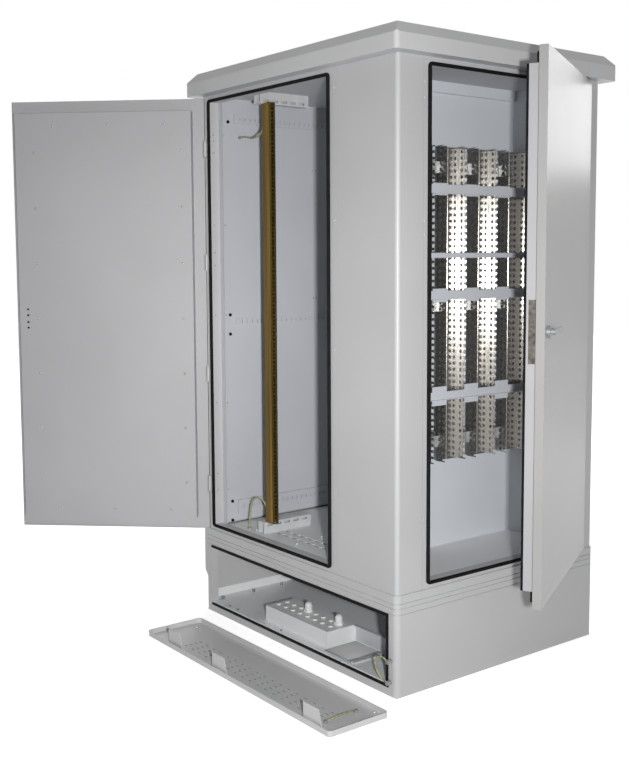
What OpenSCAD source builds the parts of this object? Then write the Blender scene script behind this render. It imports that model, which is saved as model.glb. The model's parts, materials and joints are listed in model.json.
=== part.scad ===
// Roadside utility cabinet: a sheet-metal housing on a hollow plinth, with a front
// equipment bay, a side wiring bay, two overlapping doors on concealed pin hinges,
// and the plinth cover taken off and laid in front.
// Origin on the ground under the middle of the plinth, X along the front to the
// right, Y to the back, Z up. Both doors stand open, as drawn.

/* [Body] */
// Width of the body over its sheets
body_w = 1190; // [1170:5:1230]
// Depth of the body over its sheets
body_d = 1010; // [990:5:1040]
// Height of the body from base frame to roof plate
body_h = 1765; // [1720:5:1800]
// Outside radius of the upright corners
body_r = 14; // [8:1:20]
// Thickness of the body sheets
sheet = 2; // [1.5:0.5:2.5]
// Width of the corner panel on the front
corner_w = 315; // [300:1:330]
// Distance from the near corner to the seam in the side
side_seam = 115; // [105:1:125]
// Depth of the folded edges round both door openings
return_d = 40; // [36:1:44]
// Step from a door opening to the inner walls
wall_step = 30; // [26:1:34]
// Height of the gap under the left inner wall
wall_gap = 8; // [5:1:12]

/* [Plinth] */
// Height of the plinth
plinth_h = 283; // [270:1:310]
// How far the plinth stands out past the body on every side
plinth_proud = 5; // [3:1:8]
// Outside radius of the plinth corners
plinth_r = 20; // [14:1:24]
// Thickness of the plinth sheet
plinth_sheet = 3; // [2.5:0.5:4]
// Width of each post beside the plinth opening
post_w = 51; // [45:1:60]
// Height of the sill under the plinth opening
sill_h = 39; // [36:1:44]
// Height of the grooved base frame
base_h = 67; // [64:1:80]
// Depth of the grooves in the base frame
groove_d = 3; // [2:0.5:5]
// Radius of the four anchor holes
anchor_r = 9; // [7:0.5:11]
// Distance of the anchor holes from the plinth faces
anchor_in = 60; // [50:1:66]
// How far the air hood stands out on the left
hood_out = 26; // [20:1:40]

/* [Roof] */
// Overhang of the roof past the body
roof_over = 45; // [35:1:55]
// Height of the shadow gap under the roof
roof_gap = 7; // [5:1:12]
// Height of the upright roof edge
fascia_h = 52; // [40:1:60]
// Rise of the sloped roof edge
slope_h = 40; // [30:1:50]
// Run of the sloped roof edge
slope_in = 35; // [25:1:45]

/* [Doors] */
// Depth of the door edge
door_t = 28; // [27:1:30]
// Depth of the inner tray of the door
tray_d = 41.5; // [38:0.5:43]
// Distance from the left end of the body to the front door's hinge line
front_pivot = 54; // [52:1:58]
// Distance from the rear of the body to the side door's hinge line
side_pivot = 89; // [86:1:94]
// Opening angle of the front door
front_open = 132.5; // [90:0.5:132.5]
// Opening angle of the side door
side_open = 29; // [10:0.5:60]
// Height of the lock over the middle of the body
lock_up = 4.5; // [-30:0.5:60]
// Width of the door seals
seal_w = 10; // [8:1:11]

/* [Rack] */
// Clear width between the rack uprights
rack_clear = 450; // [445:1:452]
// Width of an upright
upright_w = 56; // [52:1:58]

/* [Module frames] */
// Height of one row
module_pitch = 22.5; // [22:0.5:23]
// Space between two module frames
module_gap = 54; // [48:1:60]
// Depth of a module frame
module_d = 45; // [40:1:48]

/* [Plinth cover] */
// Lap of the cover past each end of the plinth opening
cover_lap = 28; // [20:1:34]
// Lap of the cover over and under the plinth opening
cover_lap_z = 4.5; // [2:0.5:8]
// Height of the folded cover rim
cover_rim = 20; // [15:1:25]

/* [Hidden] */
$fn = 48;
eps = 1;
fit = 0.3;
bx = body_w / 2;
by = body_d / 2;
zb = plinth_h + base_h;
zt = zb + body_h;
px = bx + plinth_proud;
py = by + plinth_proud;
plate = 3;
lining = 2;
front_seam = body_w - corner_w;
seam_gap = 1.5;
corner_len = 40;

// Door section, seen from above: u runs from the hinge line to the free edge and
// v runs into the cabinet. The hinge line is u = v = 0.
door_sheet = 1.5;
door_low = 12;
door_high = 8;
door_z0 = zb + door_low;
door_z1 = zt - door_high;
door_h = door_z1 - door_z0;
u_hinge = -2;
front_margin = 31;
side_margin = 16;
front_reach = front_seam - front_pivot - front_margin;
side_reach = body_d - side_seam - side_pivot - side_margin;
v_out = -door_t / 2;
v_rim = door_t / 2;
v_skin = v_out + door_sheet;
v_face = v_rim + 4;
hem = 4;
v_flange = 6;
v_tray0 = v_flange + door_sheet;
v_tray = v_tray0 + tray_d;
u_tray0 = 47;
tray_free_in = 22;
tray_end_in = 50;
seal_in = 3;
seal_start = 1;
seal_tip = v_tray0 + fit;
seal_r = 15;
seal_inner_r = 5;
u_clear0 = seal_start + seal_w;
clear_in = seal_in + seal_w;
clear_z0 = door_z0 + clear_in;
clear_z1 = door_z1 - clear_in;
function u_clear1(reach) = reach - clear_in;
function u_tray1(reach) = reach - tray_free_in;

// Hinge lines
fp_x = -bx + front_pivot;
fp_y = -by - v_face;
sp_x = bx + v_face;
sp_y = by - side_pivot;

// Hinges
hinge_n = 4;
hinge_end = 186;
hinge_top = 12;
hinge_pitch = (door_h - 2 * hinge_end - hinge_top) / (hinge_n - 1);
hinge_zs = [for (i = [0:hinge_n - 1]) door_z0 + hinge_end + i * hinge_pitch];
pin_r = 3.5;
pin_play = 0.05;
knuckle_r = 6.5;
knuckle_h = 48;
lug_h = 7.7;
pocket_h = knuckle_h + 2 * lug_h + 6;
pocket_u = 9;
stem_u0 = -4.5;
stem_u1 = 0.5;
foot_w = 14;
foot_t = 2.5;

// Lock
lock_z = zb + body_h / 2 + lock_up;
spindle_in = 60;
spindle_r = 5;
bolt_v0 = 24;
bolt_t = 12;
bolt_h = 30;
bolt_len = 46;
bolt_room = 6;
case_v0 = 16;
case_v1 = 44;
case_h = 150;
case_w = 66;
lock_plate_h = 200;
lock_plate_w = 23;
lock_plate_t = 1.5;
lever_len = 115;
lever_h = 9;
boss_r = 20;
boss_h = 8;
neck_h = 5;
spindle_gap = 2;
gasket_w = 10;
gasket_t = 8;
guide_w = 24;
guide_d = 18;
guide_end = 3;

// Bays
floor_top = clear_z0;
wall_top = zt - plate;
wall_h = wall_top - floor_top;
bay_y = -by + return_d;
bay_x = bx - return_d;
left_x = fp_x + u_clear0 + wall_step;
rear_y = sp_y - u_clear0 - wall_step;
part_step = 5;
part_x = -bx + front_seam + part_step;
corner_y = bay_y - 5;
top_rail_h = 40;
top_rail_d = 15;
deck_t = 4;
deck_in = 172;
deck_side = 70;

// Perforated strips on the left wall: height over the floor and width
wall_rails_at = [[wall_h - 97, 35], [wall_h * 0.475, 26], [39, 55]];
wall_rail_d = 9;
wall_rail_in = 50;
tie_pitch = 25;
tie_slot = [10, 13];

// Rack
rack_in = 77;
rack_y = -by + rack_in;
rack_side = 61;
rack_right = part_x - rack_side;
rack_left = rack_right - rack_clear;
rail_w = 40;
rail_h = 45;
rail_t = 2.5;
rail_len = 234;
rail_fore = 12;
rail_y = rack_y - rail_fore;
rail_lap = 12;
rail_slot = [26, 9];
rail_slot_in = 16;
rail_slot_pitch = 43;
rail_slot_n = 5;
upright_d = 28;
upright_fold = 26;
upright_back = 5;
upright_z0 = floor_top + rail_h;
upright_z1 = wall_top - rail_h;
upright_h = upright_z1 - upright_z0;
rack_unit = 44.45;
rack_units = floor(upright_h / rack_unit);
rack_hole = 9.5;
rack_hole_zs = [6.35, 22.225, 38.1];

// Slots in the floor, under the rack
slot_len = 34;
slot_w = 13;
slot_pitch = 49;
slot_n = 9;
slot_row = 42;
slot_left = 39;
slot_in = 37;
slot_x = rack_left - slot_left;
slot_y = rack_y + slot_in;

// Module frames
module_n = 5;
module_first = 8;
module_end = 37;
module_step = (rear_y - corner_y - module_first - module_end) / module_n;
module_w = module_step - module_gap;
module_stand = 115;
module_x = part_x + module_stand;
module_y0 = corner_y + module_first;
module_up = 360;
module_down = 252;
module_z0 = floor_top + module_up;
module_rows = floor((wall_h - module_up - module_down) / module_pitch);
module_h = module_rows * module_pitch;
module_sheet = 1.5;
module_hole_r = 6.5;
module_hole_x = module_d * 0.42;
notch_d = 12;
notch_h = 13;
back_hole_r = 3;
back_hole_y = 17;
rib_w = 4;
rib_d = 2;
support_h = 40;
support_in = 70;
support_zs = [support_in, module_h / 2, module_h - support_in];
// Wire guides: share of the frame's height, height of the bar and of the plates
guides = [[0.866, 34, 42], [0.66, 18, 18], [0.535, 32, 48], [0.216, 29, 68]];
guide_t = 2;
guide_lip = 12;
guide_lap = 8;

// Plinth fittings
tray_z = sill_h + plate;
base_wall = 8;
flange_w = 92;
opening_x = px - post_w;
opening_top = 11;
opening_d = 27;
groove_zs = [[0, 3], [21, 4], [37, 4]];
groove_reach = 10;
upstand = 34;
pseal_w = 11;
pseal_t = 6;
box_x0 = -222;
box_x1 = 172;
box_front = 42;
box_back = 180;
box_h = 60;
box_y0 = -py + box_front;
box_y1 = -py + box_back;
box_top = tray_z + box_h;
gland_pitch = 47;
gland_first = 24;
gland_rows = [47, 88];
gland_columns = 8;
big_glands = [3, 7];
big_gland_r = 15;
gland_nut_r = 19;
gland_nut_h = 10;
gland_neck_h = 14;
gland_stem_r = 12;
gland_stem_h = 14;
plug_r = 9.5;
plug_h = 5;
plug_stem_r = 6;
plug_stem_h = 8;
entry_x1 = 337;
entry_in = 20;
entry_y0 = -py + entry_in;
entry_lip = 20;
entry_lip_h = 6;
entry_wall = 3;
entry_flange = 14;
hood_low = 138;
hood_bend = 160;
hood_foot = 5;
hood_in = 7;
hood_gap = 1;
hood_half = by - hood_in;
hood_top = zb - hood_gap;

// Roof
neck_in = 5;
neck_w = 40;
roof_r = 16;
roof_lip = 62;
roof_hole_r = 8;

// Cover on the ground
cover_w = 2 * (opening_x + cover_lap);
cover_h = plinth_h - opening_top - sill_h + 2 * cover_lap_z;
cover_x = 113;
cover_out = 235;
cover_y = -py - cover_out;
cover_sheet = 1.5;
cover_r = 14;
tab_w = 100;
tab_top = 80;
tab_h = 66;
tab_t = 2;
tab_in = 8;
tab_places = [-0.367, -0.098, 0.374];
vent = [18, 4.5];
vent_pitch = 48;
vent_row = 21;
vent_rows = 4;
vent_end = 145;
vent_shift = 30;
vent_n = floor((cover_w - 2 * vent_end) / vent_pitch);

// Earth studs: the point that each stands on
stud_r = 8;
thin_stud_r = 6;
rack_stud_len = 12;
wall_stud_len = 9;
floor_stud_len = 6;
post_stud_len = 18;
cover_stud_len = 10;
rack_stud_in = 20;
upper_stud_down = 28;
lower_stud_up = 16;
wall_stud_in = 42;
wall_stud_down = 152;
floor_stud_left = 154;
floor_stud_fore = 8;
upper_stud = [rack_left - upright_w, rack_y + rack_stud_in, upright_z1 - upper_stud_down];
lower_stud = [rack_left - upright_w, rack_y + rack_stud_in, upright_z0 + lower_stud_up];
wall_stud = [left_x, rack_y + wall_stud_in, wall_top - wall_stud_down];
floor_stud = [rack_left - floor_stud_left, rack_y - floor_stud_fore, floor_top];
post_studs = [[px - 28, -py, tray_z + 82], [px - 30, -py, tray_z + 8]];
cover_studs = [
    [cover_x + cover_w / 2 - 90, cover_y + cover_h / 2 - 60, cover_sheet],
    [cover_x + cover_w / 2 - 88, cover_y - cover_h / 2 + 54, cover_sheet]];

// Earth leads: each route starts at the side of one stud and ends at another
lead_r = 3;
lead_sides = 8;
lead_steps = 4;
function from(p, steps) = [for (d = steps) p + d];
upper_route = concat(
    from(upper_stud, [[-6, 0, -8.3], [-6, -3, -47], [-23, -6, -83]]),
    from(wall_stud, [[140, -24, -16], [60, -6, -4], [9.4, 0, 0]]));
lower_route = concat(
    from(floor_stud, [[0, 0, 6.3], [6, 2, 65], [16, 6, 113]]),
    from(lower_stud, [[-54, -16, 72], [-20, -6, 56], [-6, 0, 9]]));
plinth_route = concat(
    from(post_studs[0], [[-9.2, -12, 0], [-30, -16, 10], [-54, -20, -2]]),
    from(post_studs[1], [[-50, -20, 38], [-32, -16, 12], [-9.2, -12, 0]]));
cover_route = concat(
    from(cover_studs[0], [[0, -7.2, 6.5], [6, -32, 13.5]]),
    from((cover_studs[0] + cover_studs[1]) / 2, [[9, -2, 16.5]]),
    from(cover_studs[1], [[6, 28, 13.5], [0, 7.2, 6.5]]));

front_col = [0.74, 0.75, 0.76];
inner_col = [0.66, 0.68, 0.71];
black_col = [0.06, 0.06, 0.07];
steel_col = [0.62, 0.64, 0.66];
gold_col = [0.72, 0.62, 0.38];
white_col = [0.88, 0.89, 0.88];
earth_col = [0.55, 0.68, 0.16];
bronze_col = [0.55, 0.47, 0.36];

// A box from one corner to the opposite corner
module box(a, b) {
    translate(a) cube(b - a);
}

// A flat rectangle with rounded corners, centred
module rounded(w, d, r) {
    square([w - 2 * r, d], center = true);
    square([w, d - 2 * r], center = true);
    for (sx = [-1, 1], sy = [-1, 1])
        translate([sx * (w / 2 - r), sy * (d / 2 - r)]) circle(r);
}

// An upright ring: outside size, corner radius, wall and height
module ring(w, d, r, wall, h) {
    linear_extrude(h) difference() {
        rounded(w, d, r);
        rounded(w - 2 * wall, d - 2 * wall, max(r - wall, 1));
    }
}

// A plain rectangular frame standing in the door plane, wall outside the clear size
module door_ring(u0, u1, z0, z1, wall, v0, v1) {
    difference() {
        box([u0 - wall, v0, z0 - wall], [u1 + wall, v1, z1 + wall]);
        box([u0, v0 - eps, z0], [u1, v1 + eps, z1]);
    }
}

// Places a door drawing at the front or side opening, closed or as opened
module at_front(open = 0) {
    translate([fp_x, fp_y, 0]) rotate([0, 0, -open]) children();
}
module at_side(open = 0) {
    translate([sp_x, sp_y, 0]) rotate([0, 0, open]) mirror([1, 0, 0]) rotate([0, 0, -90]) children();
}

// Body shell and its panels

module shell_part(a, b) {
    intersection() {
        translate([0, 0, zb]) ring(body_w, body_d, body_r, sheet, body_h - plate);
        box(a, b);
    }
}

// The folded edge of a door opening with the slot for the latch bolt
module opening_return(reach) {
    difference() {
        door_ring(u_clear0, u_clear1(reach), clear_z0, clear_z1, sheet, v_face, v_face + return_d);
        bolt_hole(u_clear1(reach), u_clear1(reach) + sheet);
    }
}
// Hole for the latch bolt through whatever lies between two distances from the hinge
module bolt_hole(u0, u1) {
    box([u0 - eps, bolt_v0 - fit, lock_z - bolt_h / 2 - fit],
        [u1 + eps, bolt_v0 + bolt_t + fit, lock_z + bolt_h / 2 + fit]);
}
module opening_cut(reach) {
    box([u_clear0, v_face - eps, clear_z0], [u_clear1(reach), v_face + sheet + eps, clear_z1]);
}

module front_frame() {
    color(front_col) {
        difference() {
            shell_part([-bx, -by, zb], [-bx + front_seam, -by + corner_len, zt]);
            at_front() opening_cut(front_reach);
        }
        at_front() opening_return(front_reach);
    }
}
module side_frame() {
    color(front_col) {
        difference() {
            shell_part([bx - corner_len, -by + side_seam, zb], [bx, by - corner_len, zt]);
            at_side() opening_cut(side_reach);
        }
        at_side() opening_return(side_reach);
    }
}
module corner_panel() {
    color(front_col) {
        shell_part([-bx + front_seam + seam_gap, -by, zb], [bx, -by + side_seam - seam_gap, zt]);
    }
}
module left_panel() {
    color(front_col)
        shell_part([-bx, -by + corner_len, zb], [-bx + corner_len, by - corner_len, zt]);
}
module rear_panel() {
    color(front_col) shell_part([-bx, by - corner_len, zb], [bx, by, zt]);
}
module top_plate() {
    color(inner_col) translate([0, 0, wall_top]) linear_extrude(plate)
        rounded(body_w, body_d, body_r);
}

// Inner walls and floors

module inner_left_wall() {
    color(inner_col) {
        box([left_x - lining, bay_y, floor_top + wall_gap], [left_x, rear_y, wall_top]);
        box([fp_x + u_clear0 - sheet, bay_y, floor_top], [left_x - lining, bay_y + lining, wall_top]);
    }
}
module inner_rear_wall() {
    color(inner_col) {
        box([left_x - lining, rear_y, floor_top], [part_x - lining, rear_y + lining, wall_top]);
        box([part_x - lining, rear_y, floor_top], [bay_x, rear_y + lining, wall_top]);
        box([bay_x - lining, rear_y + lining, floor_top],
            [bay_x, sp_y - u_clear0 + sheet, wall_top]);
    }
}
module inner_corner_wall() {
    color(inner_col) {
        box([part_x, corner_y - lining, floor_top], [bay_x, corner_y, wall_top]);
        box([bay_x - lining, corner_y, floor_top],
            [bay_x, sp_y - u_clear1(side_reach), wall_top]);
    }
}
// Wall between the bays, with the folded rail along its top in the side bay
module partition() {
    color(inner_col) {
        box([part_x - lining, corner_y - lining, floor_top], [part_x, rear_y, wall_top]);
        box([fp_x + u_clear1(front_reach), bay_y, floor_top],
            [part_x - lining, bay_y + lining, wall_top]);
        box([part_x, corner_y, wall_top - top_rail_h], [part_x + top_rail_d, rear_y, wall_top]);
    }
}
// A floor panel with its edges folded down to the base deck
module floor_panel(x0, y0, x1, y1) {
    difference() {
        box([x0, y0, zb], [x1, y1, floor_top]);
        box([x0 + lining, y0 + lining, zb - eps], [x1 - lining, y1 - lining, floor_top - plate]);
    }
}
module equipment_floor() {
    color(inner_col) difference() {
        floor_panel(left_x - lining, bay_y, part_x, rear_y + lining);
        for (row = [0:1], i = [0:slot_n - 1])
            translate([slot_x + i * slot_pitch, slot_y + row * slot_row, floor_top - plate - eps])
                cube([slot_len, slot_w, plate + 2 * eps]);
    }
}
module side_floor() {
    color(inner_col) floor_panel(part_x, corner_y - lining, bay_x, rear_y + lining);
}

// Perforated channels for cable ties on the left inner wall
module wall_rails() {
    run = rear_y - bay_y - 2 * wall_rail_in;
    color(inner_col) for (rail = wall_rails_at)
        translate([left_x, bay_y + wall_rail_in, floor_top + rail[0]]) {
            for (z = [0, rail[1] - lining]) translate([0, 0, z]) cube([wall_rail_d - lining, run, lining]);
            translate([wall_rail_d - lining, 0, 0]) rotate([90, 0, 90]) linear_extrude(lining) difference() {
                square([run, rail[1]]);
                for (i = [0:floor(run / tie_pitch) - 2])
                    translate([tie_pitch * (i + 0.8), (rail[1] - tie_slot[1]) / 2]) square(tie_slot);
            }
        }
}

// Seal round a door opening, with rounded corners
module door_seal(reach) {
    w = u_clear1(reach) - u_clear0;
    h = clear_z1 - clear_z0;
    translate([u_clear0 + w / 2, v_face, clear_z0 + h / 2]) rotate([90, 0, 0])
        linear_extrude(v_face - seal_tip) difference() {
            rounded(w + 2 * seal_w, h + 2 * seal_w, seal_r);
            rounded(w, h, seal_inner_r);
        }
}
module front_seal() {
    color(black_col) at_front() door_seal(front_reach);
}
module side_seal() {
    color(black_col) at_side() door_seal(side_reach);
}

// Plinth and base

module plinth_frame() {
    top = plinth_h - opening_top;
    // The edges of the opening start halfway into the sheet, so that they are one with it
    edge_y = -py + plinth_sheet / 2;
    color(front_col) {
        difference() {
            union() {
                ring(2 * px, 2 * py, plinth_r, plinth_sheet, plinth_h);
                ring(2 * px, 2 * py, plinth_r, flange_w, deck_t);
            }
            box([-opening_x, -py - eps, sill_h], [opening_x, -py + plinth_sheet + eps, top]);
            for (sx = [-1, 1], sy = [-1, 1])
                translate([sx * (px - anchor_in), sy * (py - anchor_in), -eps])
                    cylinder(r = anchor_r, h = deck_t + 2 * eps);
        }
        for (x = [-opening_x - lining, opening_x])
            box([x, edge_y, tray_z], [x + lining, -py + opening_d, top + lining]);
        box([-opening_x - lining, edge_y, top], [opening_x + lining, -py + opening_d, top + lining]);
    }
}
module plinth_floor() {
    ix = px - plinth_sheet;
    iy = py - plinth_sheet;
    skirt = ix - anchor_in - 2 * anchor_r;
    color(inner_col) difference() {
        union() {
            box([-ix, -iy, tray_z - plate], [ix, iy, tray_z]);
            for (y = [-iy, iy - plate])
                box([-skirt, y, deck_t], [skirt, y + plate, tray_z - plate]);
            for (x = [-ix, ix - plate])
                box([x, opening_d - iy, tray_z], [x + plate, iy - opening_d, tray_z + upstand]);
        }
        box([box_x1, entry_y0, tray_z - plate - eps], [entry_x1, box_y1 - entry_wall, tray_z + eps]);
        for (sx = [-1, 1], sy = [-1, 1])
            translate([sx * ix, sy * iy, tray_z - plate - eps]) cube(2 * plinth_r, center = true);
    }
}
module gland_box() {
    color(inner_col) difference() {
        box([box_x0, box_y0, tray_z], [box_x1, box_y1, box_top]);
        box([box_x0 + lining, box_y0 + lining, tray_z - eps],
            [box_x1 - lining, box_y1 - lining, box_top - lining]);
        gland_places() translate([0, 0, -2 * lining]) cylinder(r = gland_stem_r + fit, h = 3 * lining);
        plug_places() translate([0, 0, -2 * lining]) cylinder(r = plug_stem_r + fit, h = 3 * lining);
    }
}
// Two rows of places on the gland box; the big glands stand in the rear row
function gland_at(i, row) = [box_x0 + gland_first + i * gland_pitch, box_y0 + gland_rows[row], box_top];
module gland_places() {
    for (i = big_glands) translate(gland_at(i, 1)) children();
}
module plug_places() {
    for (i = [0:gland_columns - 1]) {
        translate(gland_at(i, 0)) children();
        if (len(search(i, big_glands)) == 0) translate(gland_at(i, 1)) children();
    }
}
// Domed cable glands: a hexagon nut, a neck, a dome and the stem through the box
module cable_glands() {
    color(white_col) gland_places() {
        cylinder(r = gland_nut_r, h = gland_nut_h, $fn = 6);
        translate([0, 0, gland_nut_h]) cylinder(r = big_gland_r, h = gland_neck_h);
        translate([0, 0, gland_nut_h + gland_neck_h]) intersection() {
            sphere(r = big_gland_r);
            cylinder(r = big_gland_r + eps, h = big_gland_r);
        }
        translate([0, 0, -gland_stem_h]) cylinder(r = gland_stem_r, h = gland_stem_h);
    }
}
module blanking_plugs() {
    color(white_col) plug_places() {
        cylinder(r = plug_r, h = plug_h);
        translate([0, 0, -plug_stem_h]) cylinder(r = plug_stem_r, h = plug_stem_h);
    }
}
// Cable way beside the gland box: a rear wall with a folded top, and a raised lip
module cable_entry() {
    end = entry_x1 + entry_lip;
    color(inner_col) {
        box([box_x1, box_y1 - entry_wall, tray_z], [end, box_y1, box_top]);
        box([box_x1, box_y1 - entry_flange, box_top - lining], [end, box_y1 - entry_wall, box_top]);
        box([entry_x1, entry_y0, tray_z], [end, box_y1 - entry_wall, tray_z + entry_lip_h]);
    }
}
// Seal strip on the top, right and sill of the plinth opening
module plinth_seal() {
    z0 = sill_h - pseal_w;
    z1 = plinth_h - opening_top + pseal_w;
    color(black_col) {
        box([-opening_x, -py - pseal_t, z0], [opening_x, -py, sill_h]);
        box([-opening_x, -py - pseal_t, z1 - pseal_w], [opening_x, -py, z1]);
        box([opening_x, -py - pseal_t, z0], [opening_x + pseal_w, -py, z1]);
    }
}
module base_frame() {
    color(front_col) translate([0, 0, plinth_h]) difference() {
        union() {
            ring(2 * px, 2 * py, plinth_r, base_wall, base_h);
            translate([0, 0, base_h - deck_t]) linear_extrude(deck_t)
                rounded(2 * px - base_wall, 2 * py - base_wall, plinth_r - base_wall / 2);
        }
        for (g = groove_zs)
            translate([0, 0, g[0]])
                ring(2 * (px + groove_reach), 2 * (py + groove_reach), plinth_r + groove_reach,
                    groove_reach + groove_d, g[1]);
        box([-bx + deck_in, -by + deck_in, base_h - deck_t - eps],
            [part_x - deck_side, rear_y - deck_side, base_h + eps]);
    }
}
// Shallow hood over the air inlet on the left, open below
module air_inlet_hood() {
    color(front_col) {
        translate([-px, hood_half, 0]) rotate([90, 0, 0]) linear_extrude(2 * hood_half) polygon([
            [0, hood_top], [-hood_out, hood_top], [-hood_out, hood_bend], [-hood_foot, hood_low],
            [-hood_foot + 2 * sheet, hood_low + sheet], [-hood_out + sheet, hood_bend + sheet],
            [-hood_out + sheet, hood_top - sheet], [0, hood_top - sheet]
        ]);
        for (y = [-hood_half, hood_half - sheet])
            translate([-px, y + sheet, 0]) rotate([90, 0, 0]) linear_extrude(sheet) polygon([
                [0, hood_top - sheet], [-hood_out + sheet, hood_top - sheet],
                [-hood_out + sheet, hood_bend + sheet], [-hood_foot + sheet, hood_low + sheet],
                [0, hood_low + sheet]
            ]);
    }
}

// Roof

module roof_neck() {
    color(inner_col) translate([0, 0, zt])
        ring(body_w - 2 * neck_in, body_d - 2 * neck_in, body_r - neck_in, neck_w, roof_gap);
}
// Solid outline of the roof, drawn in by a wall thickness
module roof_form(inset, base) {
    hx = bx + roof_over - inset;
    hy = by + roof_over - inset;
    h = fascia_h + slope_h - inset;
    intersection() {
        translate([0, 0, base]) linear_extrude(h - base) rounded(2 * hx, 2 * hy, roof_r - inset);
        translate([0, hy + eps, 0]) rotate([90, 0, 0]) linear_extrude(2 * hy + 2 * eps)
            polygon([[-hx, 0], [hx, 0], [hx, h - slope_h], [hx - slope_in, h],
                [slope_in - hx, h], [-hx, h - slope_h]]);
        translate([-hx - eps, 0, 0]) rotate([90, 0, 90]) linear_extrude(2 * hx + 2 * eps)
            polygon([[-hy, 0], [hy, 0], [hy, h - slope_h], [hy - slope_in, h],
                [slope_in - hy, h], [-hy, h - slope_h]]);
    }
}
module roof_hood() {
    color(front_col) translate([0, 0, zt + roof_gap]) difference() {
        roof_form(0, 0);
        roof_form(sheet, sheet);
        translate([0, 0, -eps]) linear_extrude(2 * eps + sheet)
            rounded(2 * (bx + roof_over - roof_lip), 2 * (by + roof_over - roof_lip), roof_hole_r);
    }
}

// Rack

// A slotted channel, open towards the plate that it is fixed to
module rack_rail() {
    translate([0, rail_y, 0]) difference() {
        rotate([-90, 0, 0]) mirror([0, 1, 0]) linear_extrude(rail_len) difference() {
            square([rail_w, rail_h]);
            translate([rail_t, -eps]) square([rail_w - 2 * rail_t, rail_h - rail_t + eps]);
        }
        for (i = [0:rail_slot_n - 1])
            translate([rail_w - rail_t - eps, rail_slot_in + i * rail_slot_pitch, rail_h - rail_slot_in])
                cube([rail_t + 2 * eps, rail_slot[0], rail_slot[1]]);
    }
}
module rail_pair() {
    translate([rack_left - upright_w + rail_lap - rail_w, 0, 0]) rack_rail();
    translate([part_x - lining, 0, 0]) mirror([1, 0, 0]) rack_rail();
}
module rack_rails() {
    color(steel_col) {
        translate([0, 0, floor_top]) rail_pair();
        translate([0, 0, wall_top]) mirror([0, 0, 1]) rail_pair();
    }
}
// Left upright: a closed section with a sloped front edge and a perforated inner flange
module upright() {
    first = (upright_h - rack_units * rack_unit) / 2;
    w = upright_w;
    t = lining;
    linear_extrude(upright_h) polygon([
        [-t, 0], [-upright_fold, 0], [-w, upright_back], [-w, upright_d], [-t, upright_d],
        [-t, upright_d - t], [t - w, upright_d - t], [t - w, upright_back + t], [-upright_fold, t], [-t, t]
    ]);
    translate([-t, 0, 0]) rotate([90, 0, 90]) linear_extrude(t) difference() {
        square([upright_d, upright_h]);
        for (u = [0:rack_units - 1], z = rack_hole_zs)
            translate([upright_d / 2, first + u * rack_unit + z]) square(rack_hole, center = true);
    }
}
module rack_upright_left() {
    color(gold_col) translate([rack_left, rack_y, upright_z0]) upright();
}
module rack_upright_right() {
    color(gold_col) translate([rack_right, rack_y, upright_z0]) mirror([1, 0, 0]) upright();
}

// Module frames: a trough folded from one sheet, with a hole and a notch per row

module module_flange() {
    rotate([90, 0, 0]) linear_extrude(module_sheet) difference() {
        square([module_d, module_h]);
        for (i = [0:module_rows - 1]) translate([0, (i + 0.5) * module_pitch]) {
            translate([module_hole_x, 0]) circle(module_hole_r, $fn = 16);
            translate([module_d - notch_d, -notch_h / 2]) square([notch_d + eps, notch_h]);
        }
    }
}
module module_frame(k) {
    color(steel_col) translate([module_x, module_y0 + k * module_step, module_z0]) {
        translate([0, module_sheet, 0]) module_flange();
        translate([0, module_w, 0]) module_flange();
        rotate([90, 0, 90]) linear_extrude(module_sheet) difference() {
            square([module_w, module_h]);
            for (i = [0:module_rows - 1], s = [-1, 1])
                translate([module_w / 2 + s * back_hole_y, (i + 0.5) * module_pitch])
                    circle(back_hole_r, $fn = 16);
        }
        translate([0, (module_w - rib_w) / 2, 0]) cube([module_sheet + rib_d, rib_w, module_h]);
    }
}
module module_frame_1() { module_frame(0); }
module module_frame_2() { module_frame(1); }
module module_frame_3() { module_frame(2); }
module module_frame_4() { module_frame(3); }
module module_frame_5() { module_frame(4); }

// Channels that carry the module frames off the partition
module module_supports() {
    run = (module_n - 1) * module_step + module_w;
    reach = module_x - part_x;
    color(steel_col) for (z = support_zs)
        translate([part_x, module_y0 + run, module_z0 + z - support_h / 2])
            rotate([90, 0, 0]) linear_extrude(run) difference() {
                square([reach, support_h]);
                translate([-eps, lining]) square([reach - lining + eps, support_h - 2 * lining]);
            }
}
// Grey wire guides across the frames: a bar with a forward lip, and a plate at each gap
module wire_guides() {
    run = (module_n - 1) * module_step + module_w;
    color(inner_col) for (g = guides)
        translate([module_x + module_d, module_y0, module_z0 + g[0] * module_h]) {
            translate([0, 0, -g[1] / 2]) cube([guide_t, run, g[1]]);
            translate([guide_t, 0, -g[1] / 2]) cube([guide_lip, run, guide_t]);
            for (k = [1:module_n - 1])
                translate([0, k * module_step - module_gap - guide_lap, -g[2] / 2])
                    cube([guide_t, module_gap + 2 * guide_lap, g[2]]);
        }
}

// Earth studs and leads

function unit(v) = v / norm(v);
function tangent(p, i) = unit(p[min(i + 1, len(p) - 1)] - p[max(i - 1, 0)]);
// A smooth run through the route points, so many steps to a span
function spline_at(a, b, c, d, t) =
    0.5 * (2 * b + (c - a) * t + (2 * a - 5 * b + 4 * c - d) * t * t + (3 * b - a - 3 * c + d) * t * t * t);
function smooth(p, steps) = concat(
    [for (i = [0:len(p) - 2], s = [0:steps - 1])
        spline_at(p[max(i - 1, 0)], p[i], p[i + 1], p[min(i + 2, len(p) - 1)], s / steps)],
    [p[len(p) - 1]]);

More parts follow.
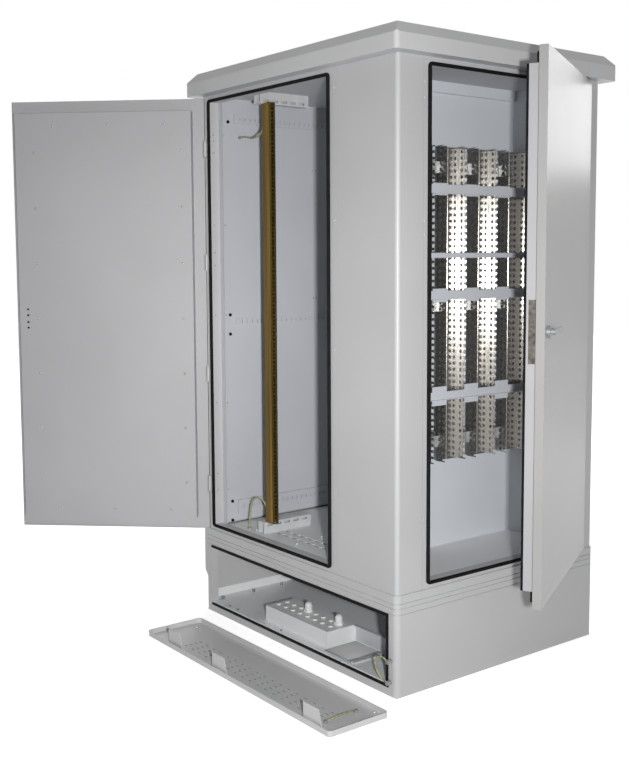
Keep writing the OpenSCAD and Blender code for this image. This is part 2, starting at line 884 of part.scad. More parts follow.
// A round lead along a route; side is a direction that the route never follows
module lead(route, side) {
    p = smooth(route, lead_steps);
    n = lead_sides;
    pts = [for (i = [0:len(p) - 1])
        let (t = tangent(p, i), a = unit(cross(t, side)), b = cross(t, a))
        for (k = [0:n - 1]) p[i] + lead_r * (a * cos(360 * k / n) + b * sin(360 * k / n))];
    faces = concat(
        [[for (k = [0:n - 1]) k]],
        [for (i = [0:len(p) - 2], k = [0:n - 1])
            [i * n + k, (i + 1) * n + k, (i + 1) * n + (k + 1) % n, i * n + (k + 1) % n]],
        [[for (k = [0:n - 1]) (len(p) - 1) * n + n - 1 - k]]);
    polyhedron(pts, faces);
}
module earth_lead_upper() { color(earth_col) lead(upper_route, [0.2, 1, 0.1]); }
module earth_lead_lower() { color(earth_col) lead(lower_route, [0.1, 1, 0.1]); }
module earth_lead_plinth() { color(earth_col) lead(plinth_route, [0.1, 1, 0.1]); }
module earth_lead_cover() { color(earth_col) lead(cover_route, [1, 0, 0.1]); }

module earth_studs() {
    color(steel_col) {
        for (p = [upper_stud, lower_stud])
            translate(p) rotate([0, -90, 0]) cylinder(r = stud_r, h = rack_stud_len);
        translate(wall_stud) rotate([0, 90, 0]) cylinder(r = thin_stud_r, h = wall_stud_len);
        translate(floor_stud) cylinder(r = stud_r, h = floor_stud_len);
        for (p = post_studs)
            translate(p) rotate([90, 0, 0]) cylinder(r = stud_r, h = post_stud_len);
        for (p = cover_studs)
            translate(p) cylinder(r = thin_stud_r, h = cover_stud_len);
    }
}

// Plinth cover, lying with its inside up

module cover_slots() {
    for (row = [0:vent_rows - 1], i = [0:vent_n - 1])
        translate([(i - (vent_n - 1) / 2) * vent_pitch + vent_shift, -row * vent_row])
            square(vent, center = true);
}
module plinth_cover() {
    color(front_col) translate([cover_x, cover_y, 0]) {
        linear_extrude(cover_sheet) difference() {
            rounded(cover_w, cover_h, cover_r);
            cover_slots();
        }
        translate([0, 0, cover_sheet]) ring(cover_w, cover_h, cover_r, cover_sheet, cover_rim - cover_sheet);
        for (p = tab_places)
            translate([p * cover_w, tab_in + tab_t - cover_h / 2, cover_sheet]) rotate([90, 0, 0])
                linear_extrude(tab_t) polygon([[0, 0], [tab_w, 0], [tab_top, tab_h], [0, tab_h]]);
    }
}

// Doors, drawn in the section directions

module door_skin(reach) {
    s = door_sheet;
    difference() {
        union() {
            box([u_hinge, v_out, door_z0], [reach, v_skin, door_z1]);
            box([reach - s, v_skin, door_z0], [reach, v_rim, door_z1]);
            box([u_hinge, v_skin, door_z1 - s], [reach - s, v_rim, door_z1]);
            box([u_hinge, v_skin, door_z0], [reach - s, v_rim, door_z0 + s]);
            box([u_hinge, v_skin, door_z0 + s], [u_hinge + s, v_out + hem, door_z1 - s]);
        }
        translate([reach - spindle_in, v_out - eps, lock_z]) rotate([-90, 0, 0])
            cylinder(r = spindle_r + pin_play, h = s + 2 * eps);
    }
}
module door_tray(reach) {
    z0 = door_z0 + tray_end_in;
    z1 = door_z1 - tray_end_in;
    u1 = u_tray1(reach);
    s = door_sheet;
    difference() {
        union() {
            box([seal_start, v_flange, door_z0 + s], [reach - s, v_tray0, door_z1 - s]);
            box([seal_start, v_skin, door_z0 + s], [seal_start + s, v_flange, door_z1 - s]);
            box([u_tray0, v_tray0, z0], [u1, v_tray, z1]);
        }
        box([u_tray0 + s, v_flange - eps, z0 + s], [u1 - s, v_tray - s, z1 - s]);
        for (z = hinge_zs)
            box([u_hinge, v_skin - eps, z - pocket_h / 2], [pocket_u, v_tray0 + eps, z + pocket_h / 2]);
        bolt_hole(u1 - s, u1);
    }
}
// Body half of each hinge: a knuckle on a stem, with its foot on the body beside the seal
module hinge_arms() {
    for (z = hinge_zs) translate([0, 0, z - knuckle_h / 2]) linear_extrude(knuckle_h) difference() {
        union() {
            circle(knuckle_r);
            translate([stem_u0, 0]) square([stem_u1 - stem_u0, v_face]);
            translate([stem_u0 - foot_w, v_face - foot_t]) square([foot_w, foot_t]);
        }
        circle(pin_r + pin_play);
    }
}
// Door half of each hinge: two lugs on the skin and the pin between them
module hinge_pins() {
    for (z = hinge_zs) translate([0, 0, z]) {
        for (s = [-1, 1]) translate([0, 0, s * (knuckle_h / 2 + fit + lug_h / 2) - lug_h / 2])
            linear_extrude(lug_h) {
                circle(knuckle_r);
                translate([u_hinge + door_sheet, v_skin])
                    square([knuckle_r - u_hinge - door_sheet, -v_skin]);
            }
        translate([0, 0, -knuckle_h / 2 - fit]) cylinder(r = pin_r, h = knuckle_h + 2 * fit);
    }
}
module lock_case(reach) {
    u1 = u_tray1(reach) - door_sheet;
    difference() {
        box([u1 - case_w, case_v0, lock_z - case_h / 2], [u1, case_v1, lock_z + case_h / 2]);
        bolt_hole(u1 - bolt_len - bolt_room + eps, u1);
        translate([reach - spindle_in, case_v0 - eps, lock_z]) rotate([-90, 0, 0])
            cylinder(r = spindle_r + pin_play, h = bolt_v0 - case_v0);
    }
}
module lock_plate(reach) {
    mid = bolt_v0 + bolt_t / 2;
    u1 = u_tray1(reach);
    difference() {
        box([u1, mid - lock_plate_w / 2, lock_z - lock_plate_h / 2],
            [u1 + lock_plate_t, mid + lock_plate_w / 2, lock_z + lock_plate_h / 2]);
        bolt_hole(u1, u1 + lock_plate_t);
    }
}
module latch_bolt(reach) {
    u1 = u_tray1(reach);
    box([u1 - bolt_len, bolt_v0, lock_z - bolt_h / 2], [u1, bolt_v0 + bolt_t, lock_z + bolt_h / 2]);
}
// Lever handle on a round boss, with the spindle into the lock case
module door_handle(reach) {
    translate([reach - spindle_in, v_out - fit, lock_z]) {
        rotate([90, 0, 0]) {
            cylinder(r = boss_r, h = boss_h);
            translate([0, 0, boss_h]) cylinder(r = lever_h, h = neck_h);
            translate([0, 0, boss_h + neck_h]) linear_extrude(lever_h) {
                circle(lever_h);
                translate([-lever_len, -lever_h]) square([lever_len, 2 * lever_h]);
                translate([-lever_len, 0]) circle(lever_h);
            }
        }
        rotate([-90, 0, 0]) cylinder(r = spindle_r, h = bolt_v0 - spindle_gap - v_out + fit);
    }
}

module front_door_skin() { color(front_col) at_front(front_open) door_skin(front_reach); }
module front_door_tray() { color(inner_col) at_front(front_open) door_tray(front_reach); }
module front_hinge_arms() { color(steel_col) at_front() hinge_arms(); }
module front_hinge_pins() { color(steel_col) at_front(front_open) hinge_pins(); }
module front_lock_case() { color(steel_col) at_front(front_open) lock_case(front_reach); }
module front_lock_plate() { color(front_col) at_front(front_open) lock_plate(front_reach); }
module front_handle() { color(steel_col) at_front(front_open) door_handle(front_reach); }
module front_latch() { color(steel_col) at_front(front_open) latch_bolt(front_reach); }

module side_door_skin() { color(front_col) at_side(side_open) door_skin(side_reach); }
module side_door_tray() { color(inner_col) at_side(side_open) door_tray(side_reach); }
module side_hinge_arms() { color(steel_col) at_side() hinge_arms(); }
module side_hinge_pins() { color(steel_col) at_side(side_open) hinge_pins(); }
module side_lock_case() { color(steel_col) at_side(side_open) lock_case(side_reach); }
module side_lock_plate() { color(bronze_col) at_side(side_open) lock_plate(side_reach); }
module side_handle() { color(steel_col) at_side(side_open) door_handle(side_reach); }
module side_latch() { color(steel_col) at_side(side_open) latch_bolt(side_reach); }

// Black strip round the inner face of the side door, and its rod guides
module side_door_gasket() {
    g = gasket_w;
    color(black_col) at_side(side_open)
        door_ring(u_tray0 + g, u_tray1(side_reach) - g, door_z0 + tray_end_in + g,
            door_z1 - tray_end_in - g, g, v_tray, v_tray + gasket_t);
}
module side_rod_guides() {
    u1 = u_tray1(side_reach);
    color(black_col) at_side(side_open)
        for (z = [
            [clear_z0 + guide_end, door_z0 + tray_end_in],
            [door_z1 - tray_end_in, clear_z1 - guide_end]])
            box([u1 - guide_w, v_tray0, z[0]], [u1, v_tray0 + guide_d, z[1]]);
}

plinth_frame();
plinth_floor();
gland_box();
cable_glands();
blanking_plugs();
cable_entry();
plinth_seal();
base_frame();
air_inlet_hood();
left_panel();
rear_panel();
front_frame();
corner_panel();
side_frame();
top_plate();
inner_left_wall();
inner_rear_wall();
inner_corner_wall();
partition();
equipment_floor();
side_floor();
wall_rails();
front_seal();
side_seal();
roof_neck();
roof_hood();
rack_rails();
rack_upright_left();
rack_upright_right();
module_frame_1();
module_frame_2();
module_frame_3();
module_frame_4();
module_frame_5();
module_supports();
wire_guides();
earth_studs();
earth_lead_upper();
earth_lead_lower();
earth_lead_plinth();
earth_lead_cover();
plinth_cover();
front_hinge_arms();
side_hinge_arms();
front_door_skin();
front_door_tray();
front_hinge_pins();
front_lock_case();
front_lock_plate();
front_handle();
front_latch();
side_door_skin();
side_door_tray();
side_door_gasket();
side_hinge_pins();
side_lock_case();
side_lock_plate();
side_rod_guides();
side_handle();
side_latch();
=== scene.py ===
# %% [markdown]
# # Roadside utility cabinet: looks
# The cabinet is folded sheet metal with a powder coat. Its solids come from the packed
# frame, and they keep their shapes here. This lesson gives each of them a finish made
# of shader nodes, adds the seals and the small fasteners as numpy surfaces, and sets
# up the camera and the light of the photograph.

# %% Load the frame
import json
import math

import bpy
import numpy as np
from mathutils import Matrix, Vector


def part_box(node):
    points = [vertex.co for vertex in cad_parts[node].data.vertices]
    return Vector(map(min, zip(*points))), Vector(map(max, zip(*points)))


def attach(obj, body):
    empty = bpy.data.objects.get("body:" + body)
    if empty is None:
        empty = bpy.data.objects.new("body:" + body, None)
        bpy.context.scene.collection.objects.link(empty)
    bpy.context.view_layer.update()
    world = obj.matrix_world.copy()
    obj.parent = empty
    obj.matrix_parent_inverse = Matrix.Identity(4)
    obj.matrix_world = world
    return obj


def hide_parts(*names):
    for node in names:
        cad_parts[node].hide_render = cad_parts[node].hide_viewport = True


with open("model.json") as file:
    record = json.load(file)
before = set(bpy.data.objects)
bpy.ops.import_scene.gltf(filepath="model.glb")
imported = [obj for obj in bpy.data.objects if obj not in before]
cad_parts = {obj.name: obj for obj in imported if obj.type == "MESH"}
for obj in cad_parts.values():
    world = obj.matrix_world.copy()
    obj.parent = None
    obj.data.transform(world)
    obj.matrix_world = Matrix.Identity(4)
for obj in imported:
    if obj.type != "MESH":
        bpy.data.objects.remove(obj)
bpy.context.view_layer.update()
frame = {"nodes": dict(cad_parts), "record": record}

nodes = frame["nodes"]

# %% [markdown]
# ## Camera
# The photograph was taken at standing eye height, a little to the right of the near
# corner. A camera could be placed by eye, but the cabinet's long straight edges fix it
# far better: the place, the turn, the slight roll and the shift of the frame below were
# solved from them for an image of 629 by 757.

# %% Camera
AZIMUTH, ELEVATION, ROLL = np.radians((52.745, 5.163, -0.322))
EYE = Vector((3.1841, -2.8218, 1.4665))
SENSOR_MM, FOCAL_MM = 36.0, 61.22
SHIFT_X, SHIFT_Y = 0.0040, -0.0359
level = Vector((math.cos(AZIMUTH), math.sin(AZIMUTH), 0))
away = Vector((math.sin(AZIMUTH) * math.cos(ELEVATION), -math.cos(AZIMUTH) * math.cos(ELEVATION),
               math.sin(ELEVATION)))
upward = away.cross(level)
across = math.cos(ROLL) * level + math.sin(ROLL) * upward
upright = math.cos(ROLL) * upward - math.sin(ROLL) * level

lens = bpy.data.cameras.new("camera")
lens.sensor_fit = "HORIZONTAL"
lens.sensor_width = SENSOR_MM
lens.lens = FOCAL_MM
lens.shift_x, lens.shift_y = SHIFT_X, SHIFT_Y
lens.clip_end = 60.0
camera = bpy.data.objects.new("camera", lens)
camera.matrix_world = Matrix.Translation(EYE) @ Matrix((across, upright, away)).transposed().to_4x4()
bpy.context.scene.collection.objects.link(camera)
bpy.context.scene.camera = camera
print("camera", tuple(round(c, 3) for c in EYE), "lens", round(lens.lens, 2))

# %% [markdown]
# ## Shader nodes by name
# A material is a small graph of nodes, and building one by hand takes many lines. Three
# helpers shorten it: one adds any node, one gives a noise, and one turns a noise into a
# blend of two colours. The noise reads Object coordinates. An image texture would need
# UV maps on every sheet, and a noise needs none.

# %% Shader nodes by name
def node(tree, kind, **values):
    """Adds a shader node, and sets its sockets or its properties by name."""
    made_node = tree.nodes.new(kind)
    for key, value in values.items():
        if key in made_node.inputs:
            made_node.inputs[key].default_value = value
        else:
            setattr(made_node, key, value)
    return made_node


def noise(tree, scale, stretch=(1, 1, 1), detail=3.0):
    """Noise in Object coordinates, scale in cycles per metre, stretched axis by axis."""
    place = node(tree, "ShaderNodeTexCoord")
    mapping = node(tree, "ShaderNodeMapping", Scale=stretch)
    cloud = node(tree, "ShaderNodeTexNoise", Scale=scale, Detail=detail)
    tree.links.new(place.outputs["Object"], mapping.inputs["Vector"])
    tree.links.new(mapping.outputs["Vector"], cloud.inputs["Vector"])
    return cloud.outputs["Fac"]


def ramp(tree, factor, low, high, start=0.35, end=0.65):
    """Colour low below start, colour high above end, and a straight blend between."""
    blend = node(tree, "ShaderNodeValToRGB")
    for stop, at, rgb in zip(blend.color_ramp.elements, (start, end), (low, high)):
        stop.position = at
        stop.color = (*rgb, 1)
    tree.links.new(factor, blend.inputs["Fac"])
    return blend.outputs["Color"]


print("shader helpers ready")

# %% [markdown]
# ## How a finish is built
# A coat of paint is never one flat colour. Each finish here is a Principled shader with
# two noises. A broad one shifts the colour slowly over the sheet, and a fine one moves
# the roughness and a small bump. Stretching a noise along one axis draws it into lines,
# as on rolled or drawn metal.

# %% How a finish is built
SMOOTHEST = 0.02
BUMP_STRENGTH = 0.6


def finish(name, rgb, rough, metal=0.0, vary=0.03, broad=2.2, grain=800.0, bump=0.00005,
           stretch=(1, 1, 1), rough_vary=0.05, shine=0.5, streak=(1, 1, 1)):
    """Colour rgb (1 - vary .. 1 + vary), roughness rough -+ rough_vary, bump height in metres."""
    mat = bpy.data.materials.new(name)
    mat.use_nodes = True
    tree = mat.node_tree
    tree.nodes.clear()
    out = node(tree, "ShaderNodeOutputMaterial")
    skin = node(tree, "ShaderNodeBsdfPrincipled", Metallic=metal)
    skin.inputs["Specular IOR Level"].default_value = shine
    low, high = (tuple(min(c * (1 + s * vary), 1) for c in rgb) for s in (-1, 1))
    tree.links.new(ramp(tree, noise(tree, broad, streak), low, high), skin.inputs["Base Color"])
    fine = noise(tree, grain, stretch, 2.0)
    r0, r1 = (max(rough + s * rough_vary, SMOOTHEST) for s in (-1, 1))
    tree.links.new(ramp(tree, fine, (r0,) * 3, (r1,) * 3), skin.inputs["Roughness"])
    relief = node(tree, "ShaderNodeBump", Strength=BUMP_STRENGTH, Distance=bump)
    tree.links.new(fine, relief.inputs["Height"])
    tree.links.new(relief.outputs["Normal"], skin.inputs["Normal"])
    tree.links.new(skin.outputs["BSDF"], out.inputs["Surface"])
    return mat


print("finishes take a least roughness of", SMOOTHEST)

# %% [markdown]
# ## Powder coat
# All painted sheet is one pale grey powder coat with a faint orange peel, here in eight
# coats. The outside is neutral, the roof is paler and the bays are cooler, and the floors
# and the plinth's tray are the brightest. The paler roof, floors and tray are painted
# light. The door trays are a little darker, and the side door's outer sheet is darker
# still, which is painted shade. That sheet is also smoother, and mirrors the backdrop at
# a flat angle.

# %% Powder coat
PEEL = 900
coats = {
    "outer": finish("outer_powder_coat", (0.55, 0.55, 0.555), 0.42, grain=PEEL),
    "inner": finish("inner_powder_coat", (0.555, 0.57, 0.60), 0.48, grain=PEEL),
    # Painted shade: the door trays and the side door's outer sheet are darker than the outer coat.
    "tray": finish("door_tray_painted_shade_coat", (0.475, 0.472, 0.482), 0.46, grain=PEEL),
    "side_door": finish("side_door_painted_shade_coat", (0.42, 0.414, 0.408), 0.31, grain=PEEL, bump=0.00002),
    # Painted light: the floors and the roof are paler than the outer coat.
    "deck": finish("deck_painted_light_coat", (0.82, 0.825, 0.83), 0.36, grain=PEEL),
    "roof": finish("roof_painted_light_coat", (0.66, 0.66, 0.665), 0.42, grain=PEEL),
    "bay": finish("wiring_bay_coat", (0.70, 0.725, 0.765), 0.46, grain=PEEL),
    # Painted light: the plinth's tray is the palest coat.
    "plinth_tray": finish("plinth_tray_painted_light_coat", (0.86, 0.87, 0.88), 0.28, grain=PEEL),
}
print("coats", sorted(coats))

# %% [markdown]
# ## Foam rubber
# The door seals, the strip on the side door and the rod guides are black and almost
# without shine. Foam rubber has open pores, so its grain is fine and its bump is high.

# %% Foam rubber
coats["rubber"] = finish("foam_rubber", (0.008, 0.008, 0.009), 0.8, vary=0.3, broad=30, grain=1500,
                         bump=0.00015, shine=0.12)
print("foam rubber ready")

# %% [markdown]
# ## Bare and plated metal
# The rack uprights are yellow passivated zinc, which is an uneven olive brown with
# drawing lines along the length. The module frames are stainless sheet, and its rolling
# grain runs upright, so the noise is stretched along Z. The bolts on the floor are bright
# zinc, and the handles, studs, rivets and small screws a duller one. The rack rails are
# paler, and the side lock's plate is a mottled bronze. A fully metallic shader would show
# only the surroundings, so each metal is left short of it.

# %% Bare and plated metal
coats["yellow_zinc"] = finish("yellow_zinc", (0.205, 0.13, 0.03), 0.42, metal=0.85, vary=0.38, broad=75,
                              grain=260, stretch=(1, 1, 0.05), streak=(1, 1, 0.02))
coats["stainless"] = finish("stainless_sheet", (0.50, 0.485, 0.46), 0.17, metal=0.92, vary=0.05,
                            grain=420, stretch=(1, 1, 0.03))
coats["zinc"] = finish("zinc_plate", (0.64, 0.65, 0.66), 0.38, metal=0.6, vary=0.08, broad=22, grain=320)
coats["handle"] = finish("handle_zinc", (0.34, 0.35, 0.36), 0.42, metal=0.6, vary=0.15, broad=40, grain=320)
coats["rail"] = finish("bright_rail", (0.66, 0.665, 0.67), 0.42, metal=0.15, vary=0.04, broad=18, grain=320)
coats["lock"] = finish("lock_plate", (0.11, 0.10, 0.085), 0.45, metal=0.35, vary=0.55, broad=70, grain=380)
print("metals ready")

# %% [markdown]
# ## Moulded plastic
# Cable glands and blanking plugs are white polyamide, and the wire guides are grey.
# Both come out of a mould with a fine matt skin.

# %% Moulded plastic
coats["white"] = finish("white_plastic", (0.74, 0.75, 0.75), 0.45, grain=1200, bump=0.00003)
coats["guide"] = finish("grey_plastic", (0.62, 0.64, 0.68), 0.5, grain=1200, bump=0.00004)
print("plastics ready")

# %% [markdown]
# ## Earth lead
# An earth lead is yellow with a green stripe that winds round it. A wave across Object
# coordinates gives slanting bands on a thin round lead, which read as that stripe.

# %% Earth lead
SHEATH_YELLOW = (0.42, 0.40, 0.20)
SHEATH_GREEN = (0.17, 0.24, 0.08)


def lead_sheath():
    """Yellow sheath; green where a diagonal wave rises past its ramp."""
    mat = finish("earth_sheath", SHEATH_YELLOW, 0.45, grain=1400, bump=0.00003)
    tree = mat.node_tree
    skin = next(n for n in tree.nodes if n.type == "BSDF_PRINCIPLED")
    yellow = skin.inputs["Base Color"].links[0].from_socket
    place = node(tree, "ShaderNodeTexCoord")
    wave = node(tree, "ShaderNodeTexWave", Scale=34.0, Distortion=1.2)
    wave.bands_direction = "DIAGONAL"
    tree.links.new(place.outputs["Object"], wave.inputs["Vector"])
    stripe = ramp(tree, wave.outputs["Fac"], (0, 0, 0), (1, 1, 1), 0.74, 0.82)
    mix = node(tree, "ShaderNodeMix", data_type="RGBA")
    mix.inputs["B"].default_value = (*SHEATH_GREEN, 1)
    tree.links.new(stripe, mix.inputs["Factor"])
    tree.links.new(yellow, mix.inputs["A"])
    tree.links.new(mix.outputs["Result"], skin.inputs["Base Color"])
    return mat


coats["lead"] = lead_sheath()
print("earth lead ready")

# %% [markdown]
# ## Dress the solids
# The record names a material slot for every solid. Each slot takes one finish, and some
# solids have a coat of their own: the doors, the floors, the roof, the wiring bay, the
# rails, the handles and the latches. Only the material slots of the solids are touched,
# never their meshes.

# %% Dress the solids
SLOT_COATS = {
    "outer_grey": "outer", "inner_grey": "inner", "seal_black": "rubber", "yellow_zinc": "yellow_zinc",
    "stainless": "stainless", "zinc_steel": "zinc", "gland_white": "white", "guide_grey": "guide",
    "earth_yellow_green": "lead", "lock_bronze": "lock"}
# The coats of the doors, the floors, the roof and the plinth's tray carry painted light and shade.
OWN_COATS = {
    "tray": ("front_door_tray", "side_door_tray"),
    "side_door": ("side_door_skin",),
    "deck": ("equipment_floor", "side_floor", "gland_box"),
    "bay": ("partition", "inner_corner_wall"),
    "roof": ("roof_hood", "plinth_cover"),
    "plinth_tray": ("plinth_floor",),
    "rail": ("rack_rails",),
    "handle": ("module_supports", "earth_studs", "front_handle", "side_handle"),
    "lock": ("front_latch", "side_latch"),
}
own_coat = {solid: coat for coat, solids in OWN_COATS.items() for solid in solids}
for sub in frame["record"]["subparts"]:
    sheet = nodes[sub["node"]].data
    sheet.materials.clear()
    sheet.materials.append(coats[own_coat.get(sub["node"], SLOT_COATS[sub["material_slot"]])])

# %% [markdown]
# ## From arrays to a mesh
# Every new piece is worked out as an array of points and arrays of faces. One helper
# puts them into a mesh, turns the faces outwards by the sign of the enclosed volume,
# and hands the piece to the body that carries it.

# %% From arrays to a mesh
made = {}


def enclosed(points, quads):
    """Signed volume: a sixth of the sum of a . (b x c) over both halves of each quad."""
    a, b, c, d = (points[quads[:, i]] for i in range(4))
    halves = np.einsum("ij,ij->i", a, np.cross(b, c)) + np.einsum("ij,ij->i", a, np.cross(c, d))
    return float(halves.sum() / 6)


def add_piece(name, points, quads, caps, coat, body, slot):
    """One mesh object at the origin from points, quads and the end caps of its tubes."""
    centred = points - points.mean(axis=0)
    if enclosed(centred, quads) < 0:
        quads = quads[:, ::-1]
        caps = caps[:, ::-1]
    mesh = bpy.data.meshes.new(name)
    mesh.from_pydata(points.tolist(), [], quads.tolist() + caps.tolist())
    mesh.validate()
    mesh.materials.append(coats[coat])
    smooth = np.zeros(len(mesh.polygons), dtype=bool)
    smooth[:len(quads)] = True
    mesh.polygons.foreach_set("use_smooth", smooth)
    piece = bpy.data.objects.new(name, mesh)
    bpy.context.scene.collection.objects.link(piece)
    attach(piece, body)
    made[name] = len(quads) + len(caps)
    print(name, made[name], "faces")
    return piece


# %% [markdown]
# ## Bead of a seal
# A foam seal is a bulb, flat where it is glued to the body and round where the door
# meets it. The solid model has a plain square strip. Here the bulb's section is carried
# round the opening as one surface: one parameter runs along the path, the other round
# the section, and each corner is mitred.

# %% Bead of a seal
CROWN_STEPS = 13


def bead(path, face, width, height, closed):
    """Point = path + w(t) side + h(t) face, where side is the mitre of both neighbours.

    The section (w, h) has a flat foot and straight sides, and its top is half an ellipse.
    """
    ahead = np.roll(path, -1, axis=0) - path
    ahead /= np.linalg.norm(ahead, axis=1, keepdims=True)
    side_out = np.cross(np.broadcast_to(face, ahead.shape), ahead)
    side_in = np.roll(side_out, 1, axis=0)
    if not closed:
        side_out[-1] = side_out[-2]
        side_in[0] = side_out[0]
    mitre = (side_in + side_out) / (1 + np.einsum("ij,ij->i", side_in, side_out))[:, None]
    turn = np.linspace(0, np.pi, CROWN_STEPS)
    crown = min(width / 2, height)
    w = np.concatenate(([width / 2], width / 2 * np.cos(turn), [-width / 2]))
    h = np.concatenate(([0.0], height - crown + crown * np.sin(turn), [0.0]))
    points = path[:, None] + w[None, :, None] * mitre[:, None] + h[None, :, None] * face
    rows, cols = points.shape[:2]
    i = np.arange(rows if closed else rows - 1)[:, None]
    j = np.arange(cols)[None, :]
    i2, j2 = (i + 1) % rows, (j + 1) % cols
    quads = np.stack([i * cols + j, i * cols + j2, i2 * cols + j2, i2 * cols + j], axis=-1).reshape(-1, 4)
    caps = np.stack([np.arange(cols)[::-1], (rows - 1) * cols + np.arange(cols)])
    return points.reshape(-1, 3), quads, caps[:0] if closed else caps


print("a bead's section has", CROWN_STEPS + 2, "points")

# %% [markdown]
# ## Door seals
# Each seal lies on the body's face round a door opening. Its place could be typed in,
# but the plain strip in the frame already has it. The box of that strip, drawn in by
# half the strip's width, gives the centre line, and the loop is stood up on the front
# and on the right-hand side.

# %% Path of a door seal
STRIP_W = 0.010
SEAL_R = 0.010
CORNER_STEPS = 7


def rounded_loop(width, height, radius):
    """Corner centres plus radius (cos q, sin q), a quarter turn to each corner."""
    q = np.linspace(0, np.pi / 2, CORNER_STEPS)
    q = (q[None, :] + np.arange(4)[:, None] * np.pi / 2).ravel()
    corner = np.repeat([[1, 1], [-1, 1], [-1, -1], [1, -1]], CORNER_STEPS, axis=0)
    arc = radius * np.stack([np.cos(q), np.sin(q)], axis=1)
    return corner * (width / 2 - radius, height / 2 - radius) + arc


def box_of(solid):
    """Lowest and highest corner of a solid, as two arrays in metres."""
    return np.array(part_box(solid), float)


def seal_path(solid, across, face):
    """Middle of the strip's box + loop along across and up, moved to the body's face."""
    low, high = box_of(solid)
    width, height = (high - low - STRIP_W)[[across, 2]]
    loop = rounded_loop(width, height, SEAL_R)
    path = np.tile((low + high) / 2 - (high - low) / 2 * face, (len(loop), 1))
    path[:, across] += loop[:, 0]
    path[:, 2] += loop[:, 1]
    print(solid, "loop", round(width, 4), "by", round(height, 4))
    return path


# %% Door seals
SEAL_W, SEAL_H = 0.012, 0.0101
FORWARD, RIGHT, UP = np.array([[0, -1.0, 0], [1.0, 0, 0], [0, 0, 1.0]])
front_bead = add_piece("front_seal_bead",
                       *bead(seal_path("front_seal", 0, FORWARD), FORWARD, SEAL_W, SEAL_H, True),
                       "rubber", "cabinet", "seal_black")
side_bead = add_piece("side_seal_bead",
                      *bead(seal_path("side_seal", 1, RIGHT), RIGHT, SEAL_W, SEAL_H, True),
                      "rubber", "cabinet", "seal_black")
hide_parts("front_seal")
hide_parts("side_seal")

# %% [markdown]
# ## Plinth seal
# The plinth's seal is a lower strip on three sides of its opening: the sill, the right
# post and the top. It is the same bead on an open path, with a cap at each end.

# %% Plinth seal
PLINTH_SEAL_W, PLINTH_SEAL_H = 0.011, 0.006
strip_low, strip_high = box_of("plinth_seal")
left, right = strip_low[0], strip_high[0] - PLINTH_SEAL_W / 2
bottom, top = strip_low[2] + PLINTH_SEAL_W / 2, strip_high[2] - PLINTH_SEAL_W / 2
face_y = strip_high[1]
plinth_path = np.array([[left, face_y, bottom], [right, face_y, bottom],
                        [right, face_y, top], [left, face_y, top]])
plinth_bead = add_piece("plinth_seal_bead",
                        *bead(plinth_path, FORWARD, PLINTH_SEAL_W, PLINTH_SEAL_H, False),
                        "rubber", "cabinet", "seal_black")
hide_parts("plinth_seal")

# %% [markdown]
# ## Turned heads
# Rivets, screws and bolts are bodies of revolution. A profile of radius and height turns
# about the normal of the sheet, and the whole set of places is one array. Under a hundred
# faces to each head are enough at this size.

# %% Turned heads
HEAD_SEGMENTS, SMALL_SEGMENTS = 16, 12


def heads(places, normal, profile, seg=HEAD_SEGMENTS):
    """Point = place + r (a cos q + b sin q) + h n for each place, profile ring and angle q."""
    n = np.asarray(normal, float) / np.linalg.norm(normal)
    spare = np.array([0, 0, 1.0]) if abs(n[2]) < 0.9 else np.array([1.0, 0, 0])
    a = np.cross(spare, n)
    a /= np.linalg.norm(a)
    b = np.cross(n, a)
    places = np.asarray(places, float)
    r, h = np.asarray(profile, float).T
    q = np.linspace(0, 2 * np.pi, seg, endpoint=False)
    ring = np.cos(q)[:, None] * a + np.sin(q)[:, None] * b
    points = (places[:, None, None] + r[None, :, None, None] * ring[None, None]
              + (h[:, None] * n)[None, :, None])
    count, rings = len(places), len(r)
    start = (np.arange(count) * rings * seg)[:, None, None]
    i = np.arange(rings - 1)[None, :, None] * seg
    j = np.arange(seg)[None, None, :]
    j2 = (j + 1) % seg
    quads = np.stack([start + i + j, start + i + j2, start + i + seg + j2, start + i + seg + j],
                     axis=-1).reshape(-1, 4)
    foot = start[:, 0] + np.arange(seg)[None, ::-1]
    crown = start[:, 0] + (rings - 1) * seg + np.arange(seg)[None]
    return points.reshape(-1, 3), quads, np.concatenate([foot, crown])


print("a head turns in", HEAD_SEGMENTS, "or", SMALL_SEGMENTS, "steps")

# %% [markdown]
# ## Two profiles
# A rivet or a painted screw shows as a low dome. A socket bolt has a straight side, a
# chamfered rim and a sunk middle, which catches a dark ring even at a distance. Both
# start a little below the sheet, so that no light passes under them.

# %% Two profiles
FOOT_SUNK = 0.0004
DOME_END = 1.45
SOCKET_RATIOS = np.array([(1, -0.06), (1, 0.7), (0.88, 1), (0.52, 1), (0.46, 0.5), (0.1, 0.45)])


def dome(radius, rise):
    """Rivet: radius cos q and rise sin q, from a sunk foot to almost the top."""
    q = np.linspace(0, DOME_END, 6)
    return np.concatenate([[(radius, -FOOT_SUNK)], np.stack([radius * np.cos(q), rise * np.sin(q)], axis=1)])


def socket(radius, rise):
    """Bolt: straight side, chamfered rim and a sunk middle, as ratios of radius and rise."""
    return SOCKET_RATIOS * (radius, rise)


def rows(x, y, z):
    """Points (x, y, z), where a single number stands for a whole row of them."""
    return np.stack(np.broadcast_arrays(x, y, z), axis=-1)


print("dome and socket profiles ready")

# %% [markdown]
# ## Places on the doors
# A door is drawn shut and stands open, so a place on it is given from its hinge line:
# u runs to the free edge, v runs into the cabinet and z runs up.

